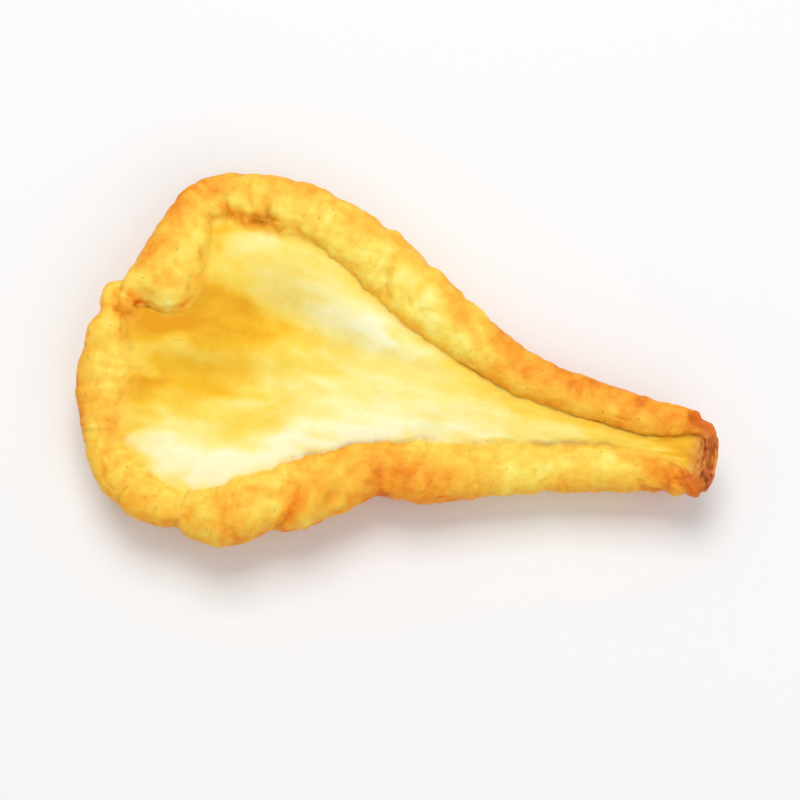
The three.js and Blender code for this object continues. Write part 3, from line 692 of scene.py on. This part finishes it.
def rolls(parameters, around, uneven=1):
    """The roll at each parameter of the edge: middle, inward direction, half sizes, end angle and lip."""
    outer = closed_curve(EDGE[:, :2], parameters)
    section = closed_curve(EDGE[:, 2:], parameters)
    spacing = np.linalg.norm(np.diff(outer, axis=0), axis=-1).mean()
    reach = round(HALF_CHORD / spacing)
    chord = np.roll(outer, -reach, axis=0) - np.roll(outer, reach, axis=0)
    inward = np.stack((-chord[:, 1], chord[:, 0]), axis=-1)
    inward /= np.linalg.norm(inward, axis=-1, keepdims=True)
    rim, crest, step = section[:, :1], section[:, 1:2], section[:, 2:]
    outer = outer + uneven * inward * waver(EDGE_WAVES, around)
    rim = rim * (1 + uneven * waver(RIM_WAVES, around))
    crest = crest + uneven * waver(CREST_WAVES, around)
    half_height = ROLL_HALF_HEIGHT * np.tanh(rim / ROLL_FULL_WIDTH)
    height = crest - half_height
    drop = np.clip((crest - step * (1 + CREASE_DEPTH) - height) / half_height, LOWEST_LIP, HIGHEST_LIP)
    end = math.pi - np.arcsin(power(drop, 1 / ROLL_FLATNESS))
    half_width = rim / (1 + np.where(end < math.pi, -power(np.cos(end), ROLL_FLATNESS), 1))
    return {
        "middle": outer + inward * half_width, "inward": inward, "half_width": half_width,
        "half_height": half_height, "height": height, "end": end, "lip_height": crest - step,
    }


def roll_points(roll, angle):
    """Points of the rolled rim at an array of angles: 0 is the outside, a quarter turn is the crest."""
    across, up = -power(np.cos(angle), ROLL_FLATNESS), power(np.sin(angle), ROLL_FLATNESS)
    x = roll["middle"][:, :1] + roll["inward"][:, :1] * across * roll["half_width"]
    y = roll["middle"][:, 1:] + roll["inward"][:, 1:] * across * roll["half_width"]
    swell = relief(ROLL_RELIEF, x, y)
    out = -np.cos(angle) * swell
    z = roll["height"] + roll["half_height"] * up + swell * np.sin(angle)
    return np.stack((x + out * roll["inward"][:, :1], y + out * roll["inward"][:, 1:], z), axis=-1)


def bed_height(x, y, lip):
    """The flesh: a level bed with its ridges, which climbs to the lip's height within BED_REACH of it."""
    spacing = np.linalg.norm(np.roll(lip, -1, axis=0) - lip, axis=-1)[:, 0]
    total = np.zeros_like(x)
    height = np.zeros_like(x)
    for place, length in zip(lip[:, 0], spacing):
        weight = length * np.exp(-((x - place[0]) ** 2 + (y - place[1]) ** 2) / BED_REACH**2)
        total += weight
        height += weight * place[2]
    near = 1 - np.maximum(0, 1 - total / (math.sqrt(math.pi) * BED_REACH)) ** 2
    level = FLESH_LEVEL + (height / np.maximum(total, TINY) - FLESH_LEVEL) * near
    return level + relief(FLESH_RELIEF, x, y)


def beside_lip(x, y, lip, values, reach):
    """The distance to the lip, and the lip's own values blended over its nearest places."""
    nearest = np.full_like(x, np.inf)
    total = np.full_like(x, LEAST_WEIGHT)
    blend = np.zeros(x.shape + values.shape[2:])
    for place, value in zip(lip[:, 0], values[:, 0]):
        squared = (x - place[0]) ** 2 + (y - place[1]) ** 2
        weight = np.exp(-squared / reach**2)
        total += weight
        blend += weight[..., None] * value
        nearest = np.minimum(nearest, squared)
    return np.sqrt(nearest), blend / total[..., None]


def toward_spine(edge, spine, part):
    """The places a part of the way from an edge to the line down the middle, seen from above."""
    return (edge[:, :, axis] + (spine[:, axis:axis + 1] - edge[:, :, axis]) * part for axis in (0, 1))


def underside_points(start, spine):
    """Points from the line down the middle out to the start of the roll, and their places across the grid."""
    part = 1 - np.arange(0, UNDERSIDE_STEPS)[None, :] / UNDERSIDE_STEPS
    x, y = toward_spine(start, spine, part)
    dome = start[:, :, 2] * (1 - part) ** UNDERSIDE_ROUNDING
    z = np.maximum(0, dome + soft_step(0, FURROW_START, part) * (relief(FURROWS, x, y) - REST_CUT))
    return np.stack((x, y, z), axis=-1), -part + np.zeros_like(x)


def rolled_points(roll):
    """Points round the roll from its start to its lip, and their places across the grid."""
    part = np.linspace(0, 1, ROLL_STEPS + 1)[None, :]
    angle = ROLL_START + (roll["end"] - ROLL_START) * part
    return roll_points(roll, angle), part + np.zeros_like(angle)


def flesh_points(crease, even_lip, lip_height, spine):
    """Points from the lip in to the line down the middle, their places across the grid and past the lip."""
    part = (np.arange(1, FLESH_STEPS + 1)[None, :] / FLESH_STEPS) ** FLESH_CROWDING
    x, y = toward_spine(even_lip, spine, part)
    away, shift = beside_lip(x, y, even_lip, (crease - even_lip)[:, :, :2], SHIFT_BLEND)
    shift *= np.exp(-(away / SHIFT_REACH) ** 2)[..., None]
    x, y = x + shift[..., 0], y + shift[..., 1]
    lip = np.concatenate((crease[:, :, :2], lip_height[:, :, None]), axis=-1)
    fall = (crease[:, :, 2] - bed_height(crease[:, :, 0], crease[:, :, 1], lip))[..., None]
    away, near_fall = beside_lip(x, y, lip, fall, HEIGHT_BLEND)
    z = bed_height(x, y, lip) + near_fall[..., 0] * np.exp(-away / CREASE_REACH)
    return np.stack((x, y, z), axis=-1), 1 + part + np.zeros_like(x), away


def softened(points, softness):
    """Rounds the crease at the lip, as much as the softness from 0 to 1 says for each ring sample."""
    lip_row = UNDERSIDE_STEPS + ROLL_STEPS
    rows = slice(lip_row - SOFT_LIP_ROWS, lip_row + SOFT_LIP_ROWS + 1)
    window = np.cos(np.linspace(-math.pi / 2, math.pi / 2, 2 * SOFT_LIP_ROWS + 1))[None, :]
    share = (softness * window)[:, :, None]
    smooth = points.copy()
    for _ in range(SOFT_LIP_ROUNDS):
        near = (smooth[:, rows.start - 1:rows.stop - 1] + smooth[:, rows.start + 1:rows.stop + 1]) / 2
        smooth[:, rows] += share * (near - smooth[:, rows]) / 2
    return smooth


def bent(points):
    """The whole half bends up a little at the stem and at the blossom end."""
    lifted = points.copy()
    for start, end, rise in (STEM_LIFT, BLOSSOM_LIFT):
        lifted[..., 2] += rise * np.clip((points[..., 0] - start) / (end - start), 0, 1) ** 2
    return lifted


def base_surface():
    """The grid of points across and round the half before its fine relief, with its own coordinates.

    These are each point's place across, from -1 to 0 on the underside, to 1 on the roll and to 2 on the
    flesh, its distance round the edge and past the lip, and how soft the lip is there.
    """
    parameters, around = ring_places()
    spine = spine_places()
    roll = rolls(parameters, around)
    even_roll = rolls(parameters, around, uneven=0)
    start = roll_points(roll, np.full((RING_STEPS, 1), ROLL_START))
    crease = roll_points(roll, roll["end"])
    even_lip = roll_points(even_roll, even_roll["end"])

    underside, across_under = underside_points(start, spine)
    rolled, across_roll = rolled_points(roll)
    flesh, across_flesh, away = flesh_points(crease, even_lip, roll["lip_height"], spine)
    points = np.concatenate((underside, rolled, flesh), axis=1)
    across = np.concatenate((across_under, across_roll, across_flesh), axis=1)
    roll_length = (roll["end"] - ROLL_START) * roll["half_height"]
    before = (np.concatenate((across_under, across_roll), axis=1) - 1) * roll_length
    from_lip = np.concatenate((before, away), axis=1)
    softness = np.clip(relief(SOFT_LIP, crease[:, :, 0], crease[:, :, 1]), 0, 1)
    return bent(softened(points, softness)), across, around + np.zeros_like(across), from_lip, softness


def grid_normals(points):
    """Unit normals of the grid, pointing out of the half."""
    round_slope = np.roll(points, -1, axis=0) - np.roll(points, 1, axis=0)
    across_slope = np.gradient(points, axis=1)
    normals = np.cross(round_slope, across_slope)
    lengths = np.linalg.norm(normals, axis=-1, keepdims=True)
    return normals / np.maximum(lengths, TINY)


def named_noise(name, points):
    """One of the listed noises at these points."""
    return noise(points, *NOISES[name])


def ridged(name, points):
    """A noise of rounded lumps with furrows between them."""
    rounding, mean = RIDGED[name]
    return np.sqrt(named_noise(name, points) ** 2 + rounding) - mean


def pleated(name, across, around):
    """Folds that lie across the roll, for a grid of places across and distances round it."""
    stretch, fade = PLEATED[name]
    places = np.stack((around, across * stretch, np.zeros_like(across)), axis=-1)
    return named_noise(name, places) * seam_fade() * soft_step(*fade, across)


def fibre_places(points):
    """Coordinates along a fibre, across the fibres and up."""
    x, y = points[..., 0], points[..., 1]
    focus = np.hypot(x - FAN[0], y - FAN[1])
    angle = np.arctan2(y - FAN[1], FAN[0] - x)
    return np.stack((focus, angle, points[..., 2]), axis=-1) * FIBRE_SCALE


def grain_fields(points, across, around):
    """The named noises at each point, on which the fine relief and the colours depend."""
    fibres = fibre_places(points)
    lumps = ridged("lumps", points)
    puckers = ridged("puckers", points + PUCKER_BEND * lumps[..., None])
    crinkle = -ridged("crinkle", points + CRINKLE_BEND * puckers[..., None])
    shrivel = np.abs(named_noise("shrivel", fibres * SHRIVEL_SCALE + SHRIVEL_BEND * lumps[..., None]))
    creases = named_noise("creases", points + CREASE_BEND * lumps[..., None])
    creases = np.exp(-(creases / CREASE_BAND) ** 2)
    creases *= soft_step(*CREASE_PATCHES, named_noise("crease patches", points))
    fields = {
        "lumps": lumps,
        "puckers": puckers,
        "crinkle": crinkle,
        "shrivel": shrivel,
        "creases": creases,
        "folds": pleated("folds", across, around),
        "pleats": pleated("pleats", across, around),
        "fibres": named_noise("fibres", fibres) + FINE_FIBRES * named_noise("fine fibres", fibres),
        "streaks": named_noise("streaks", fibres),
        "torn": named_noise("torn", points * TORN_SCALE),
    }
    for name in PLAIN_NOISES:
        fields[name] = named_noise(name, points)
    return fields


def mixture(shares, fields):
    """Sum of the named noises, each times its share."""
    return sum(share * fields[name] for name, share in shares.items())


def fine_relief(points, fields):
    """How far the fine relief pushes each point out of the half."""
    skin = fields["skin"]
    rise = skin * mixture(SKIN_RELIEF, fields)
    rise += skin * fields["under"] * SHRIVEL_RELIEF * (SHRIVEL_MEAN - fields["shrivel"])
    rise += fields["flesh"] * mixture(FLESH_GRAIN, fields)
    rise += fields["scar"] * TORN_RELIEF * fields["torn"]
    rise -= skin * CREASE_RELIEF * fields["creases"]
    rise += skin * relief(CRUST, points[..., 0], points[..., 1]) * mixture(CRUST_RELIEF, fields)
    return rise


def paleness(x, y, fields):
    """How pale the flesh is, at places that have strayed from their own."""
    streaked_x = x + STREAK_WANDER * fields["streaks"]
    return FLESH_PALENESS + relief(PALENESS, streaked_x, y) + mixture(PALENESS_GRAIN, fields)


def tone_and_shade(x, y, normals, fields):
    """How far the skin has turned to orange, at places that have strayed from their own. Painted shade
    makes it more orange on steep sides and in hollows, folds and creases.
    """
    # Painted shade: hollows and steep sides, where shade falls, are coloured more orange.
    hollow_shade = np.clip(-mixture(SHADED_HOLLOWS, fields) / HOLLOW_DEPTH, -1, 1)
    slope = 1 - np.abs(normals[..., 2])
    parts = UNDERSIDE_TONE * fields["under"] + HOLLOW_SHADE_TONE * hollow_shade + SLOPE_SHADE_TONE * slope
    return SKIN_TONE + relief(TONE, x, y) + parts + mixture(TONE_AND_SHADE_GRAIN, fields)


def brown_lines_and_crease_shade(x, y, across, from_lip):
    """How brown the line at the lip and the creases of the roll and flesh are, the brown partly painted
    shade in those creases.
    """
    line = np.exp(-(from_lip / LIP_LINE_WIDTH) ** 2) * np.clip(relief(LIP_LINE, x, y), 0, 1)
    return line + relief(MARKS, x, y) * (across > 0)


def colour_values(points, normals, across, from_lip, fields):
    """The values that colour each point, under the names by which the material reads them."""
    x, y, torn = points[..., 0], points[..., 1], fields["torn"]
    stray_x = x + PATCH_WANDER * fields["wander along"]
    stray_y = y + PATCH_WANDER * fields["wander across"]
    blush = np.clip(relief(BLUSH, x, y) + BLUSH_TEAR * torn, 0, 1)
    return {
        "flesh": 1 - fields["skin"],
        "paleness": paleness(stray_x, stray_y, fields),
        "tone_and_shade": tone_and_shade(stray_x, stray_y, normals, fields),
        # The lip line and marks, partly painted shade in the creases.
        "lip": brown_lines_and_crease_shade(x, y, across, from_lip),
        "scar": soft_step(*SCAR_FADE, fields["scar"] + SCAR_TEAR * torn),
        "blush": blush * soft_step(*BLUSH_START, x) * (across > SCAR_BOTTOM),
    }


def surface():
    """The finished grid of points, and for each point the values that colour it."""
    points, across, around, from_lip, softness = base_surface()
    fields = grain_fields(points, across, around)
    low, high = (edge + more * softness for edge, more in zip(SKIN_FADE, SOFT_SKIN_FADE))
    fields["skin"] = 1 - soft_step(low, high, from_lip)
    fields["flesh"] = soft_step(*FLESH_FADE, from_lip)
    fields["under"] = soft_step(*UNDERSIDE_FADE, across)
    fields["scar"] = relief(SCAR, points[..., 0], points[..., 1]) * (across > SCAR_BOTTOM)
    normals = grid_normals(points)
    finished = points + normals * fine_relief(points, fields)[..., None]
    finished[..., 2] = np.maximum(finished[..., 2], 0)
    return finished, colour_values(points, normals, across, from_lip, fields)


def pear_mesh():
    """Joins the grid into one closed mesh along the line down the middle, above and below."""
    points, values = surface()
    half = RING_STEPS // 2
    rows = points.shape[1] - 2

    def shared(column):
        """A column whose points coincide for the two sides: each pair is averaged into one."""
        mirrored = np.roll(column[::-1], 1, axis=0)
        return ((column + mirrored) / 2)[: half + 1]

    def flat(grid):
        """The grid's entries in the order of the mesh's vertices."""
        inner = grid[:, 1:-1].reshape(-1, *grid.shape[2:])
        return np.concatenate((inner, shared(grid[:, 0]), shared(grid[:, -1])))

    def corner(sample, row):
        """Indices of the vertices at these ring samples and rows. Rows past either end are shared."""
        turn = sample % RING_STEPS
        spine = np.where(turn <= half, turn, RING_STEPS - turn)
        index = np.where(row < 0, RING_STEPS * rows + spine, turn * rows + row)
        return np.where(row >= rows, RING_STEPS * rows + half + 1 + spine, index)

    sample, row = np.meshgrid(np.arange(RING_STEPS), np.arange(-1, rows), indexing="ij")
    sample, row = sample.ravel(), row.ravel()
    faces = np.stack((corner(sample, row), corner(sample + 1, row),
                      corner(sample + 1, row + 1), corner(sample, row + 1)), axis=-1)

    vertices = flat(points)
    low, high = vertices.min(axis=0), vertices.max(axis=0)
    vertices = vertices - ((low[0] + high[0]) / 2, (low[1] + high[1]) / 2, low[2])
    return vertices * MM, faces, {name: flat(grid) for name, grid in values.items()}


def pear_half():
    vertices, faces, values = pear_mesh()
    mesh = bpy.data.meshes.new("pear_half_surface")
    mesh.from_pydata(vertices.tolist(), [], faces.tolist())
    mesh.update()
    mesh.shade_smooth()
    for name, numbers in values.items():
        mesh.attributes.new(name, "FLOAT", "POINT").data.foreach_set("value", numbers.astype(np.float32))
    piece = bpy.data.objects.new("pear_half_surface", mesh)
    bpy.context.scene.collection.objects.link(piece)
    mesh.materials.append(pear_material())
    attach(piece, "root")
    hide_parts("dried_pear_half")


def linear(display):
    """A display colour from 0 to 255 as the shader's linear one."""
    parts = [value / 255 for value in display]
    return [part / 12.92 if part <= 0.04045 else ((part + 0.055) / 1.055) ** 2.4 for part in parts] + [1]


def new_material(name):
    """A new material, its tree of nodes and its shader."""
    material = bpy.data.materials.new(name)
    material.use_nodes = True
    return material, material.node_tree, material.node_tree.nodes["Principled BSDF"]


def connect(tree, node, inputs):
    """Gives inputs of a node, by name or number, their values, or links them to other nodes' sockets."""
    for name, value in inputs.items():
        if isinstance(value, bpy.types.NodeSocket):
            tree.links.new(value, node.inputs[name])
        else:
            node.inputs[name].default_value = value


def add(tree, kind, inputs=None, **settings):
    """A new node with these settings and inputs."""
    node = tree.nodes.new(kind)
    for name, value in settings.items():
        setattr(node, name, value)
    connect(tree, node, inputs or {})
    return node


def attribute(tree, name):
    """One of the mesh's own values."""
    return add(tree, "ShaderNodeAttribute", attribute_name=name).outputs["Fac"]


def calculate(tree, operation, *values, clamp=False):
    """Arithmetic on values or sockets."""
    inputs = dict(enumerate(values))
    return add(tree, "ShaderNodeMath", inputs, operation=operation, use_clamp=clamp).outputs[0]


def ramp(tree, factor, colours):
    """Colours spaced evenly from 0 to 1."""
    node = add(tree, "ShaderNodeValToRGB", {"Fac": factor})
    elements = node.color_ramp.elements
    elements[1].position = 1
    for step in range(1, len(colours) - 1):
        elements.new(step / (len(colours) - 1))
    for element, colour in zip(elements, colours):
        element.color = linear(colour)
    return node.outputs["Color"]


def mixed(tree, factor, first, second):
    """The first colour at factor 0, the second at 1. Each is a value or a socket."""
    node = add(tree, "ShaderNodeMix", {"Factor": factor}, data_type="RGBA")
    place = {socket.name: index for index, socket in enumerate(node.inputs) if socket.type == "RGBA"}
    connect(tree, node, {place["A"]: first, place["B"]: second})
    return next(s for s in node.outputs if s.type == "RGBA")


def grain(tree, place, scale, detail=3):
    """Noise from about -0.5 to 0.5, with this many lumps to a millimetre."""
    node = add(tree, "ShaderNodeTexNoise", {"Vector": place, "Scale": scale, "Detail": detail})
    return calculate(tree, "SUBTRACT", node.outputs["Fac"], 0.5)


def threshold(tree, value, low, high):
    """0 up to the low value and 1 from the high one on."""
    inputs = {"Value": value, "From Min": low, "From Max": high}
    return add(tree, "ShaderNodeMapRange", inputs).outputs["Result"]


def flesh_and_skin(tree, mottle, fine):
    """The colour of the flesh and the skin, each along its own scale."""
    # The skin's tone includes the painted shade on its slopes and in its hollows, folds and creases.
    redness = calculate(tree, "MULTIPLY_ADD", mottle, MOTTLE_TONE, attribute(tree, "tone_and_shade"))
    redness = calculate(tree, "MULTIPLY_ADD", fine, FINE_TONE, redness)
    whiteness = calculate(tree, "MULTIPLY_ADD", mottle, MOTTLE_PALENESS, attribute(tree, "paleness"))
    skin = ramp(tree, redness, SKIN_COLOURS)
    return mixed(tree, attribute(tree, "flesh"), skin, ramp(tree, whiteness, FLESH_COLOURS))


def specks(tree, place):
    """Strength of the small brown specks, on the skin only."""
    dots = threshold(tree, grain(tree, place, SPECKS, detail=1), *SPECK_FADE)
    on_skin = calculate(tree, "SUBTRACT", 1, attribute(tree, "flesh"))
    return calculate(tree, "MULTIPLY", calculate(tree, "MULTIPLY", dots, on_skin), SPECK_STRENGTH)


def scar_colour(tree, place):
    """Ragged browns, drawn out along the scar."""
    stretched = add(tree, "ShaderNodeVectorMath", {0: place, 1: SCAR_STRETCH}, operation="MULTIPLY")
    torn = grain(tree, stretched.outputs[0], SCAR_GRAIN)
    shade = calculate(tree, "MULTIPLY_ADD", torn, SCAR_CONTRAST, SCAR_SHADE)
    return ramp(tree, shade, SCAR_COLOURS)


def pear_colour(tree, place, mottle, fine):
    """Flesh and skin with specks, brown lines with painted crease shade, the blush beside the scar and the
    scar itself.
    """
    colour = flesh_and_skin(tree, mottle, fine)
    colour = mixed(tree, specks(tree, place), colour, linear(SPECK_COLOUR))
    gaps = threshold(tree, mottle, *LINE_FADE)
    # The lip line and marks: brown, partly painted crease shade.
    line = calculate(tree, "MULTIPLY", attribute(tree, "lip"), gaps, clamp=True)
    colour = mixed(tree, line, colour, linear(LIP_AND_SHADE_COLOUR))
    colour = mixed(tree, attribute(tree, "blush"), colour, linear(BLUSH_COLOUR))
    return mixed(tree, attribute(tree, "scar"), colour, scar_colour(tree, place))


def pear_bump(tree, place, fine):
    height = calculate(tree, "MULTIPLY_ADD", grain(tree, place, PORE_GRAIN), PORE_STRENGTH, fine)
    inputs = {"Height": height, "Strength": BUMP_STRENGTH, "Distance": BUMP_DEPTH * MM}
    return add(tree, "ShaderNodeBump", inputs).outputs["Normal"]


def pear_material():
    """Skin and flesh in one, told apart by the mesh's own values."""
    material, tree, shader = new_material("dried_pear_skin")
    coordinates = add(tree, "ShaderNodeTexCoord").outputs["Object"]
    place = add(tree, "ShaderNodeVectorMath", {0: coordinates, "Scale": 1 / MM}, operation="SCALE").outputs[0]
    mottle = grain(tree, place, MOTTLE)
    fine = grain(tree, place, FINE_GRAIN)
    roughness = calculate(tree, "MULTIPLY_ADD", attribute(tree, "flesh"), FLESH_ROUGHNESS, SKIN_ROUGHNESS)
    connect(tree, shader, {
        "Base Color": pear_colour(tree, place, mottle, fine),
        "Roughness": calculate(tree, "MULTIPLY_ADD", mottle, MOTTLE_ROUGHNESS, roughness),
        "Normal": pear_bump(tree, place, fine),
        **FINISH,
    })
    return material


def floor():
    bpy.ops.mesh.primitive_plane_add(size=FLOOR_SIDE, location=(0, 0, -FLOOR_DROP))
    plane = bpy.context.object
    plane.name = "floor"
    material, tree, shader = new_material("floor")
    connect(tree, shader, FLOOR_LOOK)
    plane.data.materials.append(material)


def area_light(name, place, side, power_in_watts):
    light = bpy.data.lights.new(name, "AREA")
    light.size = side
    light.energy = power_in_watts
    lamp = bpy.data.objects.new(name, light)
    bpy.context.scene.collection.objects.link(lamp)
    lamp.location = place
    lamp.rotation_euler = (Vector(LIT_PLACE) - Vector(place)).to_track_quat("-Z", "Y").to_euler()


def lights():
    """A soft light from behind, a weaker one from the front and even light all round."""
    area_light("key", *KEY_LIGHT)
    area_light("fill", *FILL_LIGHT)
    world = bpy.data.worlds.new("studio")
    world.use_nodes = True
    connect(world.node_tree, world.node_tree.nodes["Background"], ROOM_LIGHT)
    bpy.context.scene.world = world
    bpy.context.scene.view_settings.view_transform = "Standard"


def camera():
    """Looks at the middle of the half from above its lower edge, from far enough to see it whole."""
    azimuth, elevation = math.radians(CAMERA_AZIMUTH), math.radians(CAMERA_ELEVATION)
    back = Vector((math.sin(azimuth) * math.cos(elevation), -math.cos(azimuth) * math.cos(elevation),
                   math.sin(elevation)))
    data = bpy.data.cameras.new("camera")
    data.lens = CAMERA_LENS
    data.clip_start = CAMERA_NEAR
    low, high = Vector(CAD_BOX[0]), Vector(CAD_BOX[1])
    distance = (high.x - low.x) / CAMERA_FILL * data.lens / data.sensor_width
    eye = bpy.data.objects.new("camera", data)
    bpy.context.scene.collection.objects.link(eye)
    eye.location = (low + high) / 2 + back * distance
    eye.rotation_euler = back.to_track_quat("Z", "Y").to_euler()
    bpy.context.scene.camera = eye


camera()
pear_half()
floor()
lights()
